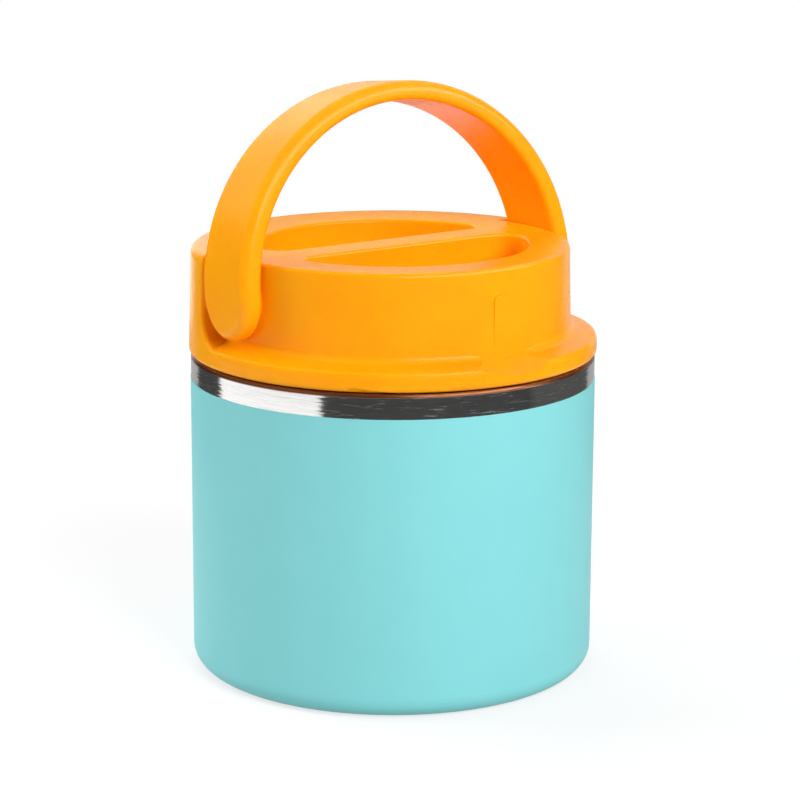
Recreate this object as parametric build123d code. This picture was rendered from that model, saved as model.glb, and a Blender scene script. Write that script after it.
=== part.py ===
"""Insulated food jar: a vacuum-walled steel jar, a screw lid and a swing handle.

Millimetres, +Z up. The origin is the centre of the foot, on the surface that the jar stands on. The
handle's pivot axis runs along X. The lid's front, with its rib and thumb scoop, faces -Y.
"""

import os
from math import atan2, cos, degrees, radians, sin

from build123d import *

os.makedirs("parts", exist_ok=True)

# ---------------------------------------------------------------- driving dimensions: jar
body_radius = 52.0  # outside of the powder coat
coat_thickness = 0.15
coat_top = 76.1  # above this the steel is bare
base_corner = 5.2  # outside radius where the wall meets the foot
coat_edge_radius = 46.7  # under the foot, the coat ends here
steel = 0.6  # sheet thickness
rim_height = 82.3
rim_roll = 0.8  # outside radius of the bend at the rim
mouth_radius = 45.4
cup_radius = 47.4  # the food cup is wider below its neck
neck_bottom = 66.5
cup_shoulder = 63.5
cup_floor = 5.5  # height of the inside of the cup's floor
cup_corner = 9.0
neck_bend = 1.5
foot_inner = 38.0  # inside of the foot ring, where the base plate is welded
foot_lip_height = 2.4
foot_bend = 1.2
plate_recess = 1.2  # how far the base plate sits above the foot
dimple_radius = 6.0
dimple_rise = 1.2
dimple_ramp = 0.8
evacuation_hole = 0.8  # radius
seal_bead_radius = 4.0
seal_bead_height = 0.9
seal_bead_fillet = 0.7
seal_stub = 0.3  # what stands up past the plate, inside
sheet_fillet = 0.4
foil_thickness = 0.25
foil_bottom = 16.0
foil_top = 62.0
getter_radius = 5.0
getter_height = 2.0
getter_offset = 16.0

# ---------------------------------------------------------------- driving dimensions: lid cap
lid_top = 110.4
lid_bottom = 82.6
lid_radius = 52.35  # at the flange's lower edge
lid_top_radius = 51.6  # the full-width back half, at the top
lid_bottom_fillet = 1.4
back_top_fillet = 2.3
drum_foot_radius = 45.6
drum_top_radius = 45.0
drum_top_fillet = 1.0
drum_foot_fillet = 2.2
flange_inner_level = 88.75  # the flange's upper face, where it meets the drum
flange_outer_level = 87.45  # the same face at its outer edge
flange_edge_fillet = 1.0
flange_edge_inset = 0.4
skirt_depth = 4.0  # the flange's edge slopes out through the lid's side over this depth
pocket_wall = 11.3  # Y of the wall that the handle leans back on
pocket_floor = 87.8
pocket_corner = 8.0
pocket_fall = 0.06  # the floor drops this much for each millimetre towards the front
pocket_edge_fillet = 1.0
lid_wall = 2.4
cavity_fillet = 1.2
well_radius = 34.6  # the two D-shaped finger wells
well_bar = 9.8  # bar left between the wells
well_depth = 11.0
well_corner = 5.5
well_floor_fillet = 2.5
well_lip_fillet = 0.8
well_draft = 2.0  # degrees
well_wall = 2.2
rib_width = 5.2
rib_top = 103.9
rib_corner = 1.8
rib_foot_proud = 0.65
rib_top_proud = 0.9  # level with the lid's top, if the rib went on up
rib_fillet = 0.5
scoop_radius = 42.0
scoop_inner_level = 88.4  # lowest line of the scoop at the drum
scoop_outer_level = 85.0  # and at the flange's outer face

# ---------------------------------------------------------------- driving dimensions: plug and gasket
plug_radius = 43.8  # root of its thread
plug_bottom = 68.4
plug_wall = 2.2
plug_floor_fillet = 2.0
weld_flange_radius = 46.3
weld_flange_bottom = 83.4
weld_flange_top = 85.2
weld_clearance = 0.1
gasket_inner = 44.1
gasket_outer = 48.4
gasket_fillet = 0.5
curved_clearance = 0.3
insulation_radius = 41.3
insulation_top = 94.0
insulation_fillet = 1.2

# ---------------------------------------------------------------- driving dimensions: handle
pivot_height = 99.9
handle_lean = 6.2  # degrees that the handle leans back, on its stop
strap_width = 19.8
leg_outer = 51.6  # outside of the legs, from the lid's centre line
leg_thickness = 5.6
leg_end_depth = 9.3  # the rounded ends reach this far below the pivot
crown_thickness = 4.9
arch_start = 2.0  # the legs are straight up to this height over the pivot
arch_rise = 49.3
strap_outer_fillet = 2.6
strap_inner_fillet = 1.6
boss_radius = 4.0
bore_clearance = 0.05
boss_inner_end = 41.8
seat_radius = 7.0
seat_outer_face = 45.7  # each leg runs against this raised ring on the lid
seat_inner_face = 42.0
washer_radius = 5.6
washer_thickness = 1.0
screw_shank_radius = 1.9
screw_hole_radius = 1.95
screw_head_radius = 3.6
screw_head_height = 2.4
screw_head_fillet = 0.8
screw_end = 48.5
screw_hole_end = 49.0

far = 70.0  # beyond every outside face
overrun = 1.0  # how far a cutting shape runs on past the face that it cuts
pivot_axis = Axis((0, 0, pivot_height), (1, 0, 0))


# ---------------------------------------------------------------- shared shapes
def turned(*corners):
    """Solid of revolution about Z. Each corner is (radius, height) or (radius, height, fillet)."""
    points = [(corner[0], 0, corner[1]) for corner in corners]
    fillets = [corner[2] if len(corner) > 2 else 0 for corner in corners]
    outline = FilletPolyline(*points, radius=fillets, close=True)
    return revolve(make_face(outline), Axis.Z)


def rod(radius, start_x, end_x):
    """Cylinder along the pivot axis, on the +X side."""
    plane = Plane(origin=(start_x, 0, pivot_height), z_dir=(1, 0, 0))
    return extrude(plane * Circle(radius), amount=end_x - start_x)


def both_sides(solid):
    """The solid and its mirror image across the lid's centre plane."""
    return [solid, mirror(solid, Plane.YZ)]


def save(name, *solids):
    """Write one node's STEP file."""
    shape = solids[0] if len(solids) == 1 else Compound(children=list(solids))
    shape.label = name
    export_step(shape, os.path.join("parts", name + ".step"))


# ---------------------------------------------------------------- jar
def make_outer_shell():
    """Outer steel wall in one sheet: rolled rim, wall, base corner, foot ring and its inner lip."""
    outside = body_radius - coat_thickness
    inside = outside - steel
    step = coat_thickness  # the bare foot ring stands level with the coat beside it
    ring_inner = mouth_radius + steel
    return turned(
        (foot_inner, foot_lip_height),
        (foot_inner, 0, foot_bend),
        (coat_edge_radius - step, 0),
        (coat_edge_radius, step),
        (outside, step, base_corner - step),
        (outside, rim_height, rim_roll),
        (ring_inner, rim_height),
        (ring_inner, rim_height - steel),
        (inside, rim_height - steel, rim_roll - steel),
        (inside, step + steel, base_corner - step - steel),
        (coat_edge_radius - step, steel),
        (foot_inner + steel, steel, foot_bend - steel),
        (foot_inner + steel, foot_lip_height),
    )


def make_powder_coat():
    """Powder coat over the wall and the base corner. It ends at the bare foot ring."""
    inside = body_radius - coat_thickness
    return turned(
        (coat_edge_radius, 0),
        (body_radius, 0, base_corner),
        (body_radius, coat_top),
        (inside, coat_top),
        (inside, coat_thickness, base_corner - coat_thickness),
        (coat_edge_radius, coat_thickness),
    )


def make_inner_liner():
    """Food cup: a straight neck that takes the lid's plug, a wider body and a rounded floor."""
    return turned(
        (0, cup_floor),
        (cup_radius, cup_floor, cup_corner),
        (cup_radius, cup_shoulder, neck_bend),
        (mouth_radius, neck_bottom, neck_bend),
        (mouth_radius, rim_height, sheet_fillet),
        (mouth_radius + steel, rim_height),
        (mouth_radius + steel, neck_bottom, neck_bend),
        (cup_radius + steel, cup_shoulder, neck_bend),
        (cup_radius + steel, cup_floor - steel, cup_corner + steel),
        (0, cup_floor - steel),
    )


def make_radiation_foil():
    """Foil sleeve wrapped round the cup, in the vacuum space."""
    inside = cup_radius + steel
    outside = inside + foil_thickness
    return turned(
        (inside, foil_bottom),
        (outside, foil_bottom),
        (outside, foil_top),
        (inside, foil_top),
    )


def make_getter():
    """Getter pill under the cup's floor, off centre."""
    top = cup_floor - steel
    return Pos(getter_offset, 0, top - getter_height / 2) * Cylinder(getter_radius, getter_height)


def make_base_plate():
    """Recessed disc welded inside the foot ring, dimpled round its evacuation hole."""
    low = plate_recess
    raised = plate_recess + dimple_rise
    return turned(
        (foot_inner, low),
        (foot_inner, low + steel),
        (dimple_radius + steel, low + steel, sheet_fillet),
        (dimple_radius + steel - dimple_ramp, raised + steel, sheet_fillet),
        (evacuation_hole, raised + steel),
        (evacuation_hole, raised),
        (dimple_radius - dimple_ramp, raised, sheet_fillet),
        (dimple_radius, low, sheet_fillet),
    )


def make_vacuum_seal():
    """Brazed bead that fills the evacuation hole and sits in the dimple."""
    seat = plate_recess + dimple_rise
    return turned(
        (0, seat - seal_bead_height),
        (seal_bead_radius, seat - seal_bead_height, seal_bead_fillet),
        (seal_bead_radius, seat),
        (evacuation_hole, seat),
        (evacuation_hole, seat + steel + seal_stub),
        (0, seat + steel + seal_stub),
    )


# ---------------------------------------------------------------- lid
def well_outline(offset=0.0):
    """Plan of the front finger well: a circle's segment with rounded corners, at Z = 0."""
    radius = well_radius + offset
    chord = well_bar / 2 - offset
    half_chord = (radius**2 - chord**2) ** 0.5
    arc = ThreePointArc((-half_chord, -chord), (0, -radius), (half_chord, -chord))
    outline = make_face([arc, Line((half_chord, -chord), (-half_chord, -chord))])
    return fillet(outline.vertices(), well_corner + offset)


def make_well():
    """The space inside the front finger well, drafted, with a filleted floor."""
    plan = Pos(0, 0, lid_top) * well_outline()
    space = extrude(plan, amount=-well_depth, taper=well_draft)
    floor = space.faces().sort_by(Axis.Z)[0]
    return fillet(floor.edges(), well_floor_fillet)


def make_full_lid():
    """The lid as if its raised part went all round. The other outside forms are cut from this one."""
    return turned(
        (0, lid_top),
        (lid_top_radius, lid_top, back_top_fillet),
        (lid_radius, lid_bottom, lid_bottom_fillet),
        (0, lid_bottom),
    )


def make_raised_back():
    """Full-width back half, with a low front part and rounded edges along its two pockets."""
    profile = FilletPolyline(
        (0, -far, lid_top + overrun),
        (0, pocket_wall, lid_top + overrun),
        (0, pocket_wall, pocket_floor),
        (0, -far, pocket_floor - pocket_fall * (pocket_wall + far)),
        radius=[0, 0, pocket_corner, 0],
        close=True,
    )
    back = make_full_lid() - extrude(make_face(profile), amount=far, both=True)
    curved = [edge for edge in back.edges() if edge.geom_type not in (GeomType.LINE, GeomType.CIRCLE)]
    crest = back.edges().filter_by(Axis.X).sort_by(Axis.Z)[-1]
    return fillet([*curved, crest], pocket_edge_fillet)


def make_drum_and_flange():
    """The lid's front form: a drum that stands on a flange, trimmed to the lid's outside."""
    lip = lid_radius - flange_edge_inset
    skirt = flange_outer_level - skirt_depth
    form = turned(
        (0, lid_top),
        (drum_top_radius, lid_top, drum_top_fillet),
        (drum_foot_radius, flange_inner_level, drum_foot_fillet),
        (lip, flange_outer_level, flange_edge_fillet),
        (lip + overrun, skirt),
        (far, skirt),
        (far, lid_bottom - overrun),
        (0, lid_bottom - overrun),
    )
    return form & make_full_lid()


def make_scoop():
    """Shallow thumb scoop: a cylinder's belly that slopes down and out under the rib."""
    run = lid_radius - drum_foot_radius
    drop = scoop_inner_level - scoop_outer_level
    slope = degrees(atan2(drop, run))
    lowest = Vector(0, -drum_foot_radius, scoop_inner_level)
    down = Vector(0, -sin(radians(slope)), cos(radians(slope)))
    centre = lowest + down * scoop_radius
    along = Vector(0, -cos(radians(slope)), -sin(radians(slope)))
    belly = extrude(Plane(origin=centre, z_dir=along) * Circle(scoop_radius), amount=far, both=True)
    drum = extrude(Plane(origin=(0, 0, lid_bottom)) * Circle(drum_foot_radius), amount=2 * far)
    return belly - drum


def make_rib():
    """Upright rib on the front of the drum, with rounded upper corners."""
    foot = flange_inner_level - drum_foot_fillet / 2
    plan = Pos(0, (foot + rib_top) / 2) * Rectangle(rib_width, rib_top - foot)
    plan = fillet(plan.vertices().sort_by(Axis.Y)[-2:], rib_corner)
    front = Plane(origin=(0, drum_foot_fillet - drum_foot_radius, 0), x_dir=(1, 0, 0), z_dir=(0, -1, 0))
    block = extrude(front * plan, amount=rib_width)
    skin = turned(
        (0, foot),
        (drum_foot_radius + rib_foot_proud, foot),
        (drum_top_radius + rib_top_proud, lid_top),
        (0, lid_top),
    )
    rib = block & skin
    outer_face = rib.faces().sort_by(Axis.Y)[0]
    return fillet(outer_face.edges(), rib_fillet)


def make_cavity():
    """The hollow inside the cap, clear of the wells and the pivot seats."""
    ceiling = lid_top - lid_wall
    middle = turned(
        (0, ceiling),
        (drum_top_radius - lid_wall, ceiling, cavity_fillet),
        (drum_foot_radius - lid_wall, weld_flange_top),
        (0, weld_flange_top),
    )
    ring_bottom = flange_inner_level - lid_wall
    ring = turned(
        (well_radius, ceiling),
        (lid_top_radius - lid_wall, ceiling, cavity_fillet),
        (lid_radius - lid_wall - flange_edge_inset, ring_bottom),
        (well_radius, ring_bottom),
    )
    back = Pos(0, pocket_wall + lid_wall + far / 2, lid_top) * Box(2 * far, far, 2 * far)
    hollow = middle + (ring & back)
    shell_plan = Pos(0, 0, lid_top) * well_outline(well_wall)
    shell = extrude(shell_plan, amount=-(well_depth + well_wall))
    for well in (shell, mirror(shell, Plane.XZ)):
        hollow -= well
    for seat in both_sides(rod(seat_radius, seat_inner_face, seat_outer_face)):
        hollow -= seat
    return hollow


def make_lid_cap():
    """Orange cap: drum, flange, raised back half, finger wells, rib, scoop and pivot seats."""
    cap = make_raised_back() + make_drum_and_flange() + make_rib()
    for seat in both_sides(rod(seat_radius, drum_top_radius - 2 * overrun, seat_outer_face)):
        cap += seat
    cap -= make_scoop()
    well = make_well()
    for space in (well, mirror(well, Plane.XZ)):
        cap -= space
    cap -= make_cavity()
    groove_radius = gasket_outer + curved_clearance
    recess_radius = weld_flange_radius + weld_clearance
    underside = turned(
        (0, lid_bottom - overrun),
        (groove_radius, lid_bottom - overrun),
        (groove_radius, weld_flange_bottom),
        (recess_radius, weld_flange_bottom),
        (recess_radius, weld_flange_top),
        (0, weld_flange_top),
    )
    cap -= underside
    for bore in both_sides(rod(boss_radius + bore_clearance, seat_inner_face - 2 * overrun, far)):
        cap -= bore
    level = cap.edges().filter_by_position(Axis.Z, lid_top, lid_top)
    lips = [edge for edge in level if edge.distance_to(Vertex(0, 0, lid_top)) < well_radius]
    return fillet(lips, well_lip_fillet)


def make_lid_plug():
    """Cup-shaped plug with a weld flange at its top."""
    inside = plug_radius - plug_wall
    floor = plug_bottom + plug_wall
    return turned(
        (0, plug_bottom),
        (plug_radius, plug_bottom, plug_floor_fillet),
        (plug_radius, weld_flange_bottom),
        (weld_flange_radius, weld_flange_bottom),
        (weld_flange_radius, weld_flange_top),
        (inside, weld_flange_top),
        (inside, floor, plug_floor_fillet / 2),
        (0, floor),
    )


def make_lid_insulation():
    """Foam puck that fills the plug and the cap up to the wells."""
    bottom = plug_bottom + plug_wall
    return turned(
        (0, bottom),
        (insulation_radius, bottom, insulation_fillet),
        (insulation_radius, insulation_top),
        (0, insulation_top),
    )


def make_lid_gasket():
    """Silicone ring between the rim and the lid, with a rounded outer edge."""
    return turned(
        (gasket_inner, rim_height),
        (gasket_outer, rim_height, gasket_fillet),
        (gasket_outer, weld_flange_bottom, gasket_fillet),
        (gasket_inner, weld_flange_bottom),
    )


# ---------------------------------------------------------------- handle
def arch_face(half_width, rise):
    """Upright half ellipse on straight legs, seen along Y, filled down to below the leg ends."""
    spring = pivot_height + arch_start
    foot = pivot_height - strap_width
    front = Plane.XZ
    outline = [
        EllipticalCenterArc((0, spring), half_width, rise, start_angle=0, arc_size=180),
        Line((-half_width, spring), (-half_width, foot)),
        Line((-half_width, foot), (half_width, foot)),
        Line((half_width, foot), (half_width, spring)),
    ]
    return front * make_face(outline)


def rims(strap, opening, distance):
    """The strap's border edges that lie this far outside the arch's opening, at the legs."""
    lines = strap.edges().filter_by(GeomType.LINE)
    seams = lines.filter_by(Axis.X) + lines.filter_by(Axis.Y)
    borders = [edge for edge in strap.edges() if edge not in seams]
    return [edge for edge in borders if abs(edge.distance_to(opening) - distance) < crown_thickness / 4]


def make_carry_handle():
    """Arched strap with rounded ends, and a bearing boss inside each leg."""
    outer = arch_face(leg_outer, arch_rise)
    inner = arch_face(leg_outer - leg_thickness, arch_rise - crown_thickness)
    opening = extrude(inner, amount=strap_width, both=True)
    band = extrude(outer, amount=strap_width, both=True) - opening
    half = strap_width / 2
    top = pivot_height + 2 * far
    spring = pivot_height + arch_start
    spring_plane = Plane(origin=(0, 0, spring), x_dir=(0, 1, 0), z_dir=(1, 0, 0))
    end_depth = arch_start + leg_end_depth
    side = [
        spring_plane * EllipticalCenterArc((0, 0), half, end_depth, start_angle=180, arc_size=180),
        Line((0, half, spring), (0, half, top)),
        Line((0, half, top), (0, -half, top)),
        Line((0, -half, top), (0, -half, spring)),
    ]
    strap = band & extrude(make_face(side), amount=far, both=True)
    strap = fillet(rims(strap, opening, leg_thickness), strap_outer_fillet)
    strap = fillet(rims(strap, opening, 0), strap_inner_fillet)
    inner_face = leg_outer - leg_thickness
    for boss in both_sides(rod(boss_radius, boss_inner_end, inner_face + overrun)):
        strap += boss
    for hole in both_sides(rod(screw_hole_radius, boss_inner_end - overrun, screw_hole_end)):
        strap -= hole
    return strap.rotate(pivot_axis, -handle_lean)


def make_pivot_washer():
    """Washer that bears on the end of a boss, inside the lid wall."""
    start = boss_inner_end - washer_thickness
    return rod(washer_radius, start, boss_inner_end) - rod(screw_hole_radius, start, boss_inner_end)


def make_pivot_screw():
    """Pan-head screw up a boss from inside the lid."""
    seat = boss_inner_end - washer_thickness
    head = rod(screw_head_radius, seat - screw_head_height, seat)
    head = fillet(head.edges().sort_by(Axis.X)[0], screw_head_fillet)
    return head + rod(screw_shank_radius, seat, screw_end)


save("outer_shell", make_outer_shell())
save("powder_coat", make_powder_coat())
save("inner_liner", make_inner_liner())
save("radiation_foil", make_radiation_foil())
save("getter", make_getter())
save("base_plate", make_base_plate())
save("vacuum_seal", make_vacuum_seal())
save("lid_cap", make_lid_cap())
save("lid_plug", make_lid_plug())
save("lid_insulation", make_lid_insulation())
save("lid_gasket", make_lid_gasket())
save("carry_handle", make_carry_handle())
save("pivot_washers", *both_sides(make_pivot_washer()))
save("pivot_screws", *both_sides(make_pivot_screw()))
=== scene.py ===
"""Insulated food jar: the finishes of its pieces, the lid's screw thread and the studio.

Metres. The origin is the centre of the foot, +Z is up and the lid's front faces -Y.
"""

from math import cos, pi, radians, sin, tau

import bmesh
import bpy
from mathutils import Matrix, Vector


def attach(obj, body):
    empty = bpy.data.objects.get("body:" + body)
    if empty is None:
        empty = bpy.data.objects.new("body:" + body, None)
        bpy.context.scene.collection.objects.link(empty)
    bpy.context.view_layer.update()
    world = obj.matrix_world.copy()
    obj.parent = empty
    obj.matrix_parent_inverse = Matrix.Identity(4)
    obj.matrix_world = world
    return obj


MM = 0.001

# ---------------------------------------------------------------- sizes of the screw thread
MOUTH_RADIUS = 45.4 * MM
PLUG_RADIUS = 43.8 * MM
THREAD_LEAD = 10.0 * MM  # rise in one turn
THREAD_STARTS = 2
THREAD_WIDTH = 1.7 * MM
THREAD_CREST_SHARE = 0.44  # the crest's width, as a share of the foot's
THREAD_ROUNDING = 0.16 * MM
THREAD_RUN_OUT = 0.08  # share of its length over which a ridge grows to full size
THREAD_TIP = 0.05  # and its size at the very end
THREAD_STEPS = 110  # points in one turn
NECK_THREAD_DEPTH = 0.9 * MM
PLUG_THREAD_DEPTH = 1.15 * MM
NECK_THREAD_BOTTOM = 69.6 * MM
NECK_THREAD_TOP = 79.4 * MM
PLUG_THREAD_BOTTOM = 71.4 * MM
PLUG_THREAD_TOP = 81.8 * MM
THREAD_SINK = 0.25 * MM  # how far a ridge's foot reaches into its wall

# ---------------------------------------------------------------- finishes, with colours as on a screen
TEAL = (129, 206, 208)
DEEPER_TEAL = (122, 200, 203)
PALER_TEAL = (138, 213, 215)
SHELL_STEEL = (222, 221, 219)
CUP_STEEL = (214, 213, 210)
SCREW_STEEL = (206, 206, 206)
STEEL_LINE_DEPTH = 18  # how much darker the lines are
# Painted shade on the rim's bend: brown for the shadow under the lid and the orange lid reflected in the
# steel
RIM_SHADE_BROWN = (148, 92, 60)
RIM_BEND_FOOT = 81.2 * MM
RIM_BEND_INSIDE = 51.1 * MM
RIM_BEND_BLUR = 0.4 * MM
ORANGE = ((255, 164, 7), (253, 158, 5), (255, 172, 14))  # usual, deeper and paler
PLUG_WHITE = ((232, 231, 226), (226, 225, 220), (240, 239, 235))
WASHER_WHITE = ((236, 235, 230), (230, 229, 224), (243, 243, 240))
ORANGE_GLOW = (1.0, 0.25, 0.06)  # how far red, green and blue light spread inside the plastic
PALE_GLOW = (1.0, 0.9, 0.75)

# ---------------------------------------------------------------- camera
PICTURE_SIDE = 800
FOCAL_PIXELS = 2782.0
SENSOR = 36.0  # millimetres
CAMERA_DISTANCE = 0.70015
CAMERA_HEIGHT = 0.23302
CAMERA_PITCH = 0.2302  # down from level, in radians like the next two
CAMERA_YAW = 0.0027
CAMERA_ROLL = 0.0045
CAMERA_AZIMUTH = radians(-36)
CLIP_START = 0.05
CLIP_END = 50.0

# ---------------------------------------------------------------- studio
WHITE = (1.0, 1.0, 1.0, 1.0)
ROOM_LIGHT = 0.265
BACKDROP_LIGHT = 1.0
FLOOR_REACH = 8.0  # to each side
FLOOR_DROP = 0.05 * MM  # keeps the floor clear of the foot ring
PAPER_SHADE = 0.66
PAPER_SHADE_SEEN = 0.28  # added where the floor is looked at or reflected
SHADOW_NEAR = 0.06  # the paper goes over into plain white between these distances
SHADOW_FAR = 0.32
WHITE_SHARE_NEAR = 0.7

CARD_RADIUS = 0.22
CARD_STEPS = 24
CARD_FOOT = 0.002
STRIP_TOP = 0.05
BACK_SPLIT = 0.165
WINDOW_FOOT = 0.17
WINDOW_TOP = 0.29
CARD_TOP = 0.32
CARDS = {  # start and end in degrees from the camera to its right, bottom, top, brightness
    "dark_card": (-36, 75, CARD_FOOT, WINDOW_FOOT, 0.055),
    "dim_card": (75, 132.6, CARD_FOOT, WINDOW_FOOT, 0.10),
    "white_strip": (-103, -36, CARD_FOOT, STRIP_TOP, 1.45),
    "dark_card_left": (-132.6, -103, CARD_FOOT, STRIP_TOP, 0.07),
    "grey_card": (132.6, 160, CARD_FOOT, STRIP_TOP, 0.45),
    "grey_card_left": (-160, -132.6, CARD_FOOT, STRIP_TOP, 0.48),
    "dark_card_above": (-140, -36, STRIP_TOP, WINDOW_FOOT, 0.0),
    "dark_card_front": (-36, 10, WINDOW_FOOT, CARD_TOP, 0.0),
    "window": (10, 95, WINDOW_FOOT, WINDOW_TOP, 8.0),
    "dark_card_right": (95, 132.6, WINDOW_FOOT, CARD_TOP, 0.0),
    "back_card": (165, 195, BACK_SPLIT, CARD_TOP, 1.0),
    "back_card_low": (165, 195, STRIP_TOP, BACK_SPLIT, 0.35),
    "back_card_right": (132.6, 165, STRIP_TOP, CARD_TOP, 0.75),
    "back_card_left": (195, 220, STRIP_TOP, CARD_TOP, 1.5),
}
SOFTBOXES = {  # right, towards the camera and up, width, height, watts
    "key": ((0.75, 1.1, 0.93), 0.9, 0.9, 24.8),
    "fill": ((-1.0, -0.25, 0.6), 0.7, 0.9, 9.6),
    "rear": ((-0.25, -1.0, 1.0), 0.9, 0.9, 8.0),
}
LAMP_AIM = Vector((0, 0, 0.075))


# ---------------------------------------------------------------- node trees
class Value:
    """An output socket in a node tree. Arithmetic on it adds Math nodes."""

    def __init__(self, tree, socket):
        self.tree = tree
        self.socket = socket

    def math(self, operation, first, second):
        return self.tree.node("ShaderNodeMath", {"operation": operation}, {0: first, 1: second})

    def __add__(self, other):
        return self.math("ADD", self, other)

    def __radd__(self, other):
        return self.math("ADD", other, self)

    def __sub__(self, other):
        return self.math("SUBTRACT", self, other)

    def __mul__(self, other):
        return self.math("MULTIPLY", self, other)

    def __rmul__(self, other):
        return self.math("MULTIPLY", other, self)

    def __truediv__(self, other):
        return self.math("DIVIDE", self, other)

    def output(self, name):
        """Another output of the same node."""
        return Value(self.tree, self.socket.node.outputs[name])


class Tree:
    """A node tree that is filled by one method."""

    def __init__(self, tree):
        self.tree = tree

    def node(self, kind, settings=None, inputs=None, output=0):
        """Adds a node. Settings come first, then the values or links of its sockets."""
        made = self.tree.nodes.new(kind)
        for name, setting in (settings or {}).items():
            setattr(made, name, setting)
        for name, value in (inputs or {}).items():
            if isinstance(value, Value):
                self.tree.links.new(value.socket, made.inputs[name])
            else:
                made.inputs[name].default_value = value
        return Value(self, made.outputs[output]) if len(made.outputs) else made


class Finish(Tree):
    """A material on one Principled shader, with helpers for patterns on Object coordinates."""

    def __init__(self, name, **constants):
        self.material = bpy.data.materials.new(name)
        self.material.use_nodes = True
        super().__init__(self.material.node_tree)
        self.shader = self.tree.nodes["Principled BSDF"]
        for socket, value in constants.items():
            self.shader.inputs[socket.replace("_", " ")].default_value = value
        self.place = self.node("ShaderNodeTexCoord", output="Object")

    def feed(self, socket, value):
        self.tree.links.new(value.socket, self.shader.inputs[socket])

    def vector_math(self, operation, inputs, output=0):
        return self.node("ShaderNodeVectorMath", {"operation": operation}, inputs, output)

    def stretched(self, x, y, z):
        """Object coordinates multiplied along each axis."""
        return self.vector_math("MULTIPLY", {0: self.place, 1: (x, y, z)})

    def radius(self):
        """Distance from the Z axis."""
        return self.vector_math("LENGTH", {0: self.stretched(1, 1, 0)}, "Value")

    def height(self):
        return self.node("ShaderNodeSeparateXYZ", None, {0: self.place}, "Z")

    def noise(self, grain, detail=2.0, roughness=0.5):
        """Noise from 0 to 1 whose spots are about a grain across, in metres."""
        inputs = {"Vector": self.place, "Scale": 1 / grain, "Detail": detail, "Roughness": roughness}
        return self.node("ShaderNodeTexNoise", None, inputs, "Fac")

    def brushed(self, length, width, detail=3.0):
        """Streaks round the Z axis, in bands that follow the height and the radius."""
        place = self.stretched(1 / length, 1 / length, 1 / width)
        inputs = {"Vector": place, "W": self.radius() / width, "Scale": 1.0, "Detail": detail}
        return self.node("ShaderNodeTexNoise", {"noise_dimensions": "4D"}, inputs, "Fac")

    def turned_round(self, angle):
        """The surface's normal, turned round the Z axis by a small angle."""
        normal = self.node("ShaderNodeNewGeometry", output="Normal")
        across = self.vector_math("CROSS_PRODUCT", {0: (0.0, 0.0, 1.0), 1: normal})
        shift = self.vector_math("SCALE", {0: across, "Scale": angle})
        leaning = self.vector_math("ADD", {0: normal, 1: shift})
        return self.vector_math("NORMALIZE", {0: leaning})

    def step(self, value, low, high):
        """0 below low, 1 above high and smooth between them."""
        inputs = {"Value": value, "From Min": low, "From Max": high}
        return self.node("ShaderNodeMapRange", {"interpolation_type": "SMOOTHSTEP"}, inputs)

    def mix(self, factor, first, second):
        """A colour between two, given as links or as scene-linear RGBA."""
        inputs = {"Factor": factor, 6: first, 7: second}
        return self.node("ShaderNodeMix", {"data_type": "RGBA"}, inputs, 2)

    def bump(self, value, depth, strength=1.0, under=None):
        """Relief from a pattern of 0 to 1, with its depth in metres."""
        inputs = {"Height": value, "Distance": depth, "Strength": strength}
        if under:
            inputs["Normal"] = under
        return self.node("ShaderNodeBump", None, inputs)


def linear(red, green, blue):
    """A screen colour of 0 to 255 as scene-linear RGBA."""
    return (*[srgb_to_linear(value / 255) for value in (red, green, blue)], 1.0)


def srgb_to_linear(value):
    return value / 12.92 if value <= 0.04045 else ((value + 0.055) / 1.055) ** 2.4


# ---------------------------------------------------------------- finishes
def teal_powder_coat():
    """Satin powder coat: a fine orange-peel grain over slow changes of tone."""
    finish = Finish("teal_powder_coat", Specular_IOR_Level=0.22)
    grain = finish.noise(0.42 * MM, 2.5, 0.6)
    mottle = finish.noise(9 * MM, 3.0)
    cloud = finish.noise(60 * MM, 2.0)
    colour = finish.mix(cloud, linear(*TEAL), linear(*DEEPER_TEAL))
    colour = finish.mix(mottle * 0.35, colour, linear(*PALER_TEAL))
    finish.feed("Base Color", colour)
    finish.feed("Roughness", 0.44 + 0.10 * grain)
    finish.feed("Normal", finish.bump(grain, 0.022 * MM, 0.5))
    return finish.material


def brushed_steel(name, shade, gloss, painted_rim_shade=False):
    """Steel with fine lines round the jar, as a lathe leaves it. On request, painted shade turns the bend at
    the rim brown and dull, for the shadow under the lid and the lid's orange underside reflected there.
    """
    finish = Finish(name, Metallic=1.0, Anisotropic=0.7, Anisotropic_Rotation=0.25)
    lines = finish.brushed(9 * MM, 0.07 * MM)
    streaks = finish.brushed(14 * MM, 0.22 * MM, 2.0)
    scratches = finish.step(finish.brushed(6 * MM, 0.12 * MM, 1.5), 0.60, 0.74)
    dark = linear(*[value - STEEL_LINE_DEPTH for value in shade])
    colour = finish.mix(finish.step(lines, 0.35, 0.75), linear(*shade), dark)
    roughness = gloss + 0.06 * lines + 0.22 * scratches
    # Painted shade and reflection: the rim's bend turns brown and duller, where it sits in the lid's shadow
    # and mirrors its orange underside
    if painted_rim_shade:
        above = finish.step(finish.height(), RIM_BEND_FOOT, RIM_BEND_FOOT + RIM_BEND_BLUR)
        outside = finish.step(finish.radius(), RIM_BEND_INSIDE, RIM_BEND_INSIDE + RIM_BEND_BLUR)
        shaded_bend = above * outside
        colour = finish.mix(shaded_bend, colour, linear(*RIM_SHADE_BROWN))
        roughness = roughness + 0.3 * shaded_bend
    finish.feed("Base Color", colour)
    finish.feed("Roughness", roughness)
    turned = finish.turned_round(0.16 * (streaks - 0.5) + 0.06 * (lines - 0.5))
    finish.feed("Normal", finish.bump(lines, 0.006 * MM, 0.4, turned))
    return finish.material


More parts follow.
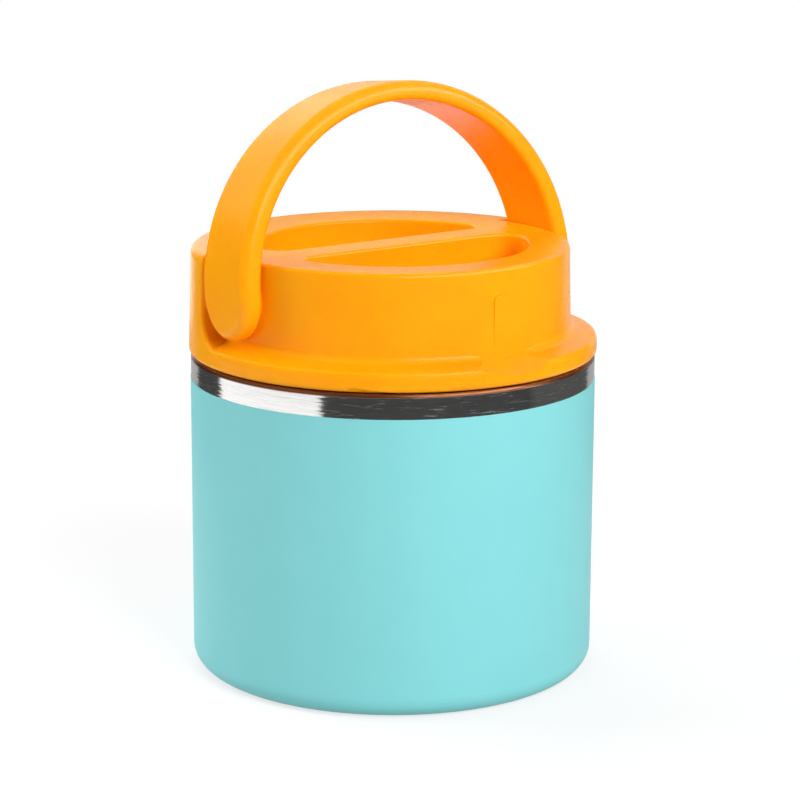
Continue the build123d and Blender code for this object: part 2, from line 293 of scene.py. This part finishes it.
def moulded_plastic(name, shades, gloss, glow):
    """Satin moulded plastic: a fine tool grain, slow changes of tone and light that spreads inside it."""
    finish = Finish(name, Specular_IOR_Level=0.14, Subsurface_Weight=0.5, Subsurface_Scale=1.6 * MM)
    finish.shader.inputs["Subsurface Radius"].default_value = glow
    usual, deeper, paler = (linear(*shade) for shade in shades)
    grain = finish.noise(0.30 * MM, 2.0, 0.6)
    flow = finish.noise(14 * MM, 2.0)
    colour = finish.mix(finish.step(flow, 0.3, 0.75), usual, deeper)
    colour = finish.mix(grain * 0.12, colour, paler)
    finish.feed("Base Color", colour)
    finish.feed("Roughness", gloss + 0.06 * grain + 0.03 * flow)
    finish.feed("Normal", finish.bump(grain, 0.006 * MM, 0.25))
    return finish.material


def silicone():
    """Cloudy white silicone with a faint bloom."""
    finish = Finish("silicone", Subsurface_Weight=0.3, Subsurface_Scale=2 * MM)
    bloom = finish.noise(3 * MM, 3.0)
    finish.feed("Base Color", finish.mix(bloom, linear(226, 228, 226), linear(214, 217, 216)))
    finish.feed("Roughness", 0.42 + 0.12 * bloom)
    finish.feed("Normal", finish.bump(finish.noise(0.5 * MM), 0.01 * MM, 0.4))
    return finish.material


def crinkled_foil():
    """Bright foil, creased where it was wrapped."""
    finish = Finish("crinkled_foil", Metallic=1.0)
    crease = finish.noise(3.5 * MM, 4.0, 0.7)
    finish.feed("Base Color", finish.mix(crease, linear(232, 232, 234), linear(205, 206, 210)))
    finish.feed("Roughness", 0.16 + 0.14 * crease)
    finish.feed("Normal", finish.bump(crease, 0.25 * MM, 0.7))
    return finish.material


def sintered_metal():
    """Dull grey metal pressed from powder."""
    finish = Finish("sintered_metal", Metallic=0.6)
    grit = finish.noise(0.18 * MM, 4.0, 0.7)
    finish.feed("Base Color", finish.mix(grit, linear(78, 79, 82), linear(116, 116, 118)))
    finish.feed("Roughness", 0.62 + 0.2 * grit)
    finish.feed("Normal", finish.bump(grit, 0.05 * MM, 0.8))
    return finish.material


def closed_cell_foam():
    """Cream foam with cells under a millimetre across."""
    finish = Finish("closed_cell_foam", Specular_IOR_Level=0.2)
    cells = finish.node("ShaderNodeTexVoronoi", None, {"Vector": finish.place, "Scale": 1 / (0.8 * MM)})
    finish.feed("Base Color", finish.mix(cells, linear(236, 230, 206), linear(220, 212, 184)))
    finish.feed("Roughness", 0.8 + 0.15 * cells)
    finish.feed("Normal", finish.bump(cells, 0.12 * MM, 0.8))
    return finish.material


def add_finishes():
    """Gives every CAD node its finish and returns them by node."""
    orange = moulded_plastic("orange_plastic", ORANGE, 0.22, ORANGE_GLOW)
    # The shell gets painted shade on its rim's bend, under the lid
    steel = brushed_steel("brushed_steel", SHELL_STEEL, 0.10, painted_rim_shade=True)
    finishes = {
        "outer_shell": steel,
        "powder_coat": teal_powder_coat(),
        "inner_liner": brushed_steel("polished_steel", CUP_STEEL, 0.12),
        "radiation_foil": crinkled_foil(),
        "getter": sintered_metal(),
        "base_plate": steel,
        "vacuum_seal": sintered_metal(),
        "lid_gasket": silicone(),
        "lid_cap": orange,
        "lid_plug": moulded_plastic("pale_plastic", PLUG_WHITE, 0.36, PALE_GLOW),
        "lid_insulation": closed_cell_foam(),
        "carry_handle": orange,
        "pivot_washers": moulded_plastic("washer_plastic", WASHER_WHITE, 0.3, PALE_GLOW),
        "pivot_screws": brushed_steel("screw_steel", SCREW_STEEL, 0.22),
    }
    for name, material in finishes.items():
        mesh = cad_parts[name].data
        mesh.materials.clear()
        mesh.materials.append(material)
    return finishes


# ---------------------------------------------------------------- the lid's screw thread
def thread_tree():
    """Raised helical ridges about Z, one for each start, that fade into the wall at both ends."""
    group = bpy.data.node_groups.new("helical_thread", "GeometryNodeTree")
    for name in ("Radius", "Bottom", "Rise", "Lead", "Width", "Depth", "Sink", "Phase"):
        group.interface.new_socket(name, in_out="INPUT", socket_type="NodeSocketFloat")
    group.interface.new_socket("Starts", in_out="INPUT", socket_type="NodeSocketInt")
    group.interface.new_socket("Material", in_out="INPUT", socket_type="NodeSocketMaterial")
    group.interface.new_socket("Geometry", in_out="OUTPUT", socket_type="NodeSocketGeometry")
    tree = Tree(group)
    given = tree.node("NodeGroupInput")

    # One ridge's centre line, which rises to the right as on a right-handed screw
    radius, rise = given.output("Radius"), given.output("Rise")
    turns = rise / given.output("Lead")
    spiral = {"Resolution": THREAD_STEPS, "Reverse": True, "Rotations": turns, "Height": rise}
    spiral.update({"Start Radius": radius, "End Radius": radius})
    crest = tree.node("GeometryNodeCurveSpiral", None, spiral)
    crest = tree.node("GeometryNodeSetCurveNormal", {"mode": "Z_UP"}, {"Curve": crest})

    # Its size along that line
    along = tree.node("GeometryNodeSplineParameter", None, None, "Factor")
    from_end = tree.node("ShaderNodeMath", {"operation": "PINGPONG"}, {0: along, 1: 0.5})
    run_out = {"Value": from_end, "From Min": 0.0, "From Max": THREAD_RUN_OUT}
    run_out.update({"To Min": THREAD_TIP, "To Max": 1.0})
    size = tree.node("ShaderNodeMapRange", {"interpolation_type": "SMOOTHSTEP"}, run_out)

    # Its section, from the wall out to the crest and back
    depth, sink = given.output("Depth"), given.output("Sink")
    foot = given.output("Width") * 0.5
    top = foot * THREAD_CREST_SHARE
    corners = ((sink, foot), (depth, top), (depth, top * -1), (sink, foot * -1))
    points = {
        f"Point {number}": tree.node("ShaderNodeCombineXYZ", None, {"X": out, "Y": up})
        for number, (out, up) in enumerate(corners, 1)
    }
    section = tree.node("GeometryNodeCurvePrimitiveQuadrilateral", {"mode": "POINTS"}, points)
    rounding = {"Curve": section, "Radius": THREAD_ROUNDING, "Count": 3}
    section = tree.node("GeometryNodeFilletCurve", {"mode": "POLY"}, rounding)
    sweep = {"Curve": crest, "Profile Curve": section, "Scale": size, "Fill Caps": True}
    ridge = tree.node("GeometryNodeCurveToMesh", None, sweep)

    # One ridge for each start, lifted to its place
    starts = given.output("Starts")
    places = tree.node("GeometryNodePoints", None, {"Count": starts})
    turn = tree.node("GeometryNodeInputIndex") * tau / starts + given.output("Phase")
    turned = tree.node("ShaderNodeCombineXYZ", None, {"Z": turn})
    copies = {"Points": places, "Instance": ridge, "Rotation": turned}
    ridges = tree.node("GeometryNodeInstanceOnPoints", None, copies)
    lift = tree.node("ShaderNodeCombineXYZ", None, {"Z": given.output("Bottom")})
    ridges = tree.node("GeometryNodeTransform", None, {"Geometry": ridges, "Translation": lift})
    ridges = tree.node("GeometryNodeRealizeInstances", None, {"Geometry": ridges})
    covered = {"Geometry": ridges, "Material": given.output("Material")}
    ridges = tree.node("GeometryNodeSetMaterial", None, covered)
    tree.node("NodeGroupOutput", None, {"Geometry": ridges})
    return group


def made_by_nodes(name, group, values):
    """A plain mesh object from a geometry tree and the values of its named inputs."""
    source = bpy.data.objects.new(name, bpy.data.meshes.new(name))
    bpy.context.scene.collection.objects.link(source)
    modifier = source.modifiers.new("shape", "NODES")
    modifier.node_group = group
    for item in group.interface.items_tree:
        if item.name in values:
            modifier[item.identifier] = values[item.name]
    graph = bpy.context.evaluated_depsgraph_get()
    mesh = bpy.data.meshes.new_from_object(source.evaluated_get(graph))
    source.modifiers.clear()
    source.data = mesh
    mesh.name = name
    facing = bmesh.new()
    facing.from_mesh(mesh)
    bmesh.ops.recalc_face_normals(facing, faces=facing.faces)
    facing.to_mesh(mesh)
    facing.free()
    mesh.shade_smooth()
    return source


def add_threads(steel, plastic):
    """The neck's ridges point in and the plug's point out, half a pitch apart, so that they mesh."""
    group = thread_tree()
    half_pitch = tau / THREAD_STARTS / 2
    neck_lag = (PLUG_THREAD_BOTTOM - NECK_THREAD_BOTTOM) / THREAD_LEAD * tau
    shared = {"Lead": THREAD_LEAD, "Width": THREAD_WIDTH, "Starts": THREAD_STARTS}
    neck = {
        "Radius": MOUTH_RADIUS,
        "Bottom": NECK_THREAD_BOTTOM,
        "Rise": NECK_THREAD_TOP - NECK_THREAD_BOTTOM,
        "Depth": -NECK_THREAD_DEPTH,
        "Sink": THREAD_SINK,
        "Phase": 0.0,
        "Material": steel,
    }
    plug = {
        "Radius": PLUG_RADIUS,
        "Bottom": PLUG_THREAD_BOTTOM,
        "Rise": PLUG_THREAD_TOP - PLUG_THREAD_BOTTOM,
        "Depth": PLUG_THREAD_DEPTH,
        "Sink": -THREAD_SINK,
        "Phase": neck_lag + half_pitch,
        "Material": plastic,
    }
    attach(made_by_nodes("neck_thread", group, {**shared, **neck}), "jar")
    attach(made_by_nodes("plug_thread", group, {**shared, **plug}), "lid")


# ---------------------------------------------------------------- camera, lamps and cards
def studio_place(right, toward, up):
    """A point given from where the camera stands: to its right, towards it, and up."""
    facing = Vector((sin(CAMERA_AZIMUTH), -cos(CAMERA_AZIMUTH), 0))
    side = Vector((cos(CAMERA_AZIMUTH), sin(CAMERA_AZIMUTH), 0))
    return side * right + facing * toward + Vector((0, 0, up))


def add_camera():
    data = bpy.data.cameras.new("camera")
    data.sensor_width = SENSOR
    data.lens = FOCAL_PIXELS / PICTURE_SIDE * SENSOR
    data.clip_start = CLIP_START
    data.clip_end = CLIP_END
    camera = bpy.data.objects.new("camera", data)
    bpy.context.scene.collection.objects.link(camera)
    camera.location = studio_place(0, CAMERA_DISTANCE, CAMERA_HEIGHT)
    level = Matrix.Rotation(CAMERA_AZIMUTH - CAMERA_YAW, 4, "Z")
    tilt = Matrix.Rotation(pi / 2 - CAMERA_PITCH, 4, "X")
    roll = Matrix.Rotation(CAMERA_ROLL, 4, "Z")
    camera.rotation_euler = (level @ tilt @ roll).to_euler()
    bpy.context.scene.camera = camera
    bpy.context.scene.view_settings.view_transform = "Standard"


def add_softbox(name, place, width, height, power):
    """A soft lamp that reflections leave out, since the cards are there for them."""
    data = bpy.data.lights.new(name, "AREA")
    data.shape = "RECTANGLE"
    data.size = width
    data.size_y = height
    data.energy = power
    lamp = bpy.data.objects.new(name, data)
    lamp.visible_glossy = False
    bpy.context.scene.collection.objects.link(lamp)
    lamp.location = place
    lamp.rotation_euler = (LAMP_AIM - place).to_track_quat("-Z", "Y").to_euler()


def stage_material(name):
    material = bpy.data.materials.new(name)
    material.use_nodes = True
    material.node_tree.nodes.clear()
    return material, Tree(material.node_tree)


def add_stage_piece(name, points, faces, material):
    mesh = bpy.data.meshes.new(name)
    mesh.from_pydata(points, [], faces)
    mesh.materials.append(material)
    piece = bpy.data.objects.new(name, mesh)
    bpy.context.scene.collection.objects.link(piece)
    return piece


def add_reflected_card(name, start, end, bottom, top, brightness):
    """A curved card round the jar that only its reflections see."""
    material, tree = stage_material(name)
    glow = tree.node("ShaderNodeEmission", None, {"Color": WHITE, "Strength": brightness})
    tree.node("ShaderNodeOutputMaterial", None, {"Surface": glow})
    points = []
    for index in range(CARD_STEPS + 1):
        angle = radians(start + (end - start) * index / CARD_STEPS)
        right, toward = CARD_RADIUS * sin(angle), CARD_RADIUS * cos(angle)
        points += [studio_place(right, toward, height) for height in (bottom, top)]
    faces = [(2 * index, 2 * index + 1, 2 * index + 3, 2 * index + 2) for index in range(CARD_STEPS)]
    card = add_stage_piece(name, points, faces, material)
    card.visible_camera = False
    card.visible_diffuse = False
    card.visible_transmission = False
    card.visible_shadow = False


# ---------------------------------------------------------------- floor and backdrop
def looked_at(tree):
    """1 for rays from the camera, a reflection or through glass, and 0 for the light on the jar."""
    path = tree.node("ShaderNodeLightPath", None, None, "Is Camera Ray")
    seen = path + path.output("Is Glossy Ray") + path.output("Is Transmission Ray")
    return tree.node("ShaderNodeMath", {"operation": "MINIMUM"}, {0: seen, 1: 1.0})


def pale_floor():
    """White paper that goes over into plain white away from the jar, and keeps its shadow near it."""
    material, tree = stage_material("pale_floor")
    seen = looked_at(tree)
    shade = PAPER_SHADE + PAPER_SHADE_SEEN * seen
    colour = tree.node("ShaderNodeCombineColor", None, {"Red": shade, "Green": shade, "Blue": shade})
    paper = tree.node("ShaderNodeBsdfDiffuse", None, {"Color": colour})
    white = tree.node("ShaderNodeEmission", None, {"Color": WHITE, "Strength": BACKDROP_LIGHT})
    place = tree.node("ShaderNodeTexCoord", output="Object")
    away = tree.node("ShaderNodeVectorMath", {"operation": "LENGTH"}, {0: place}, "Value")
    fade = {"Value": away, "From Min": SHADOW_NEAR, "From Max": SHADOW_FAR}
    fade.update({"To Min": WHITE_SHARE_NEAR, "To Max": 1.0})
    share = tree.node("ShaderNodeMapRange", {"interpolation_type": "SMOOTHSTEP"}, fade) * seen
    mixed = tree.node("ShaderNodeMixShader", None, {0: share, 1: paper, 2: white})
    tree.node("ShaderNodeOutputMaterial", None, {"Surface": mixed})
    return material


def add_floor():
    far, down = FLOOR_REACH, -FLOOR_DROP
    corners = [(-far, -far, down), (far, -far, down), (far, far, down), (-far, far, down)]
    add_stage_piece("floor", corners, [(0, 1, 2, 3)], pale_floor())


def add_world():
    """Even light from all round, behind which the camera and reflections see white."""
    world = bpy.data.worlds.new("studio")
    bpy.context.scene.world = world
    world.use_nodes = True
    world.node_tree.nodes.clear()
    tree = Tree(world.node_tree)
    room = tree.node("ShaderNodeBackground", None, {"Color": WHITE, "Strength": ROOM_LIGHT})
    backdrop = tree.node("ShaderNodeBackground", None, {"Color": WHITE, "Strength": BACKDROP_LIGHT})
    mixed = tree.node("ShaderNodeMixShader", None, {0: looked_at(tree), 1: room, 2: backdrop})
    tree.node("ShaderNodeOutputWorld", None, {"Surface": mixed})


# ---------------------------------------------------------------- making
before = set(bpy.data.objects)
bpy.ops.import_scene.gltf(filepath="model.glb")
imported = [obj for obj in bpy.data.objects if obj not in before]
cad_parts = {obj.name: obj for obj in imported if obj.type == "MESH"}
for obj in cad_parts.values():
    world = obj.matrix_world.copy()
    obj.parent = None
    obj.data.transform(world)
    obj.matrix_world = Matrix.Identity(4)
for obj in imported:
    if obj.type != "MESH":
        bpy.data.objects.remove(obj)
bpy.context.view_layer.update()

add_camera()

node_finishes = add_finishes()
add_threads(node_finishes["inner_liner"], node_finishes["lid_plug"])

add_floor()
add_world()
for card_name, card_sizes in CARDS.items():
    add_reflected_card(card_name, *card_sizes)
for lamp_name, (lamp_place, *lamp_sizes) in SOFTBOXES.items():
    add_softbox(lamp_name, studio_place(*lamp_place), *lamp_sizes)
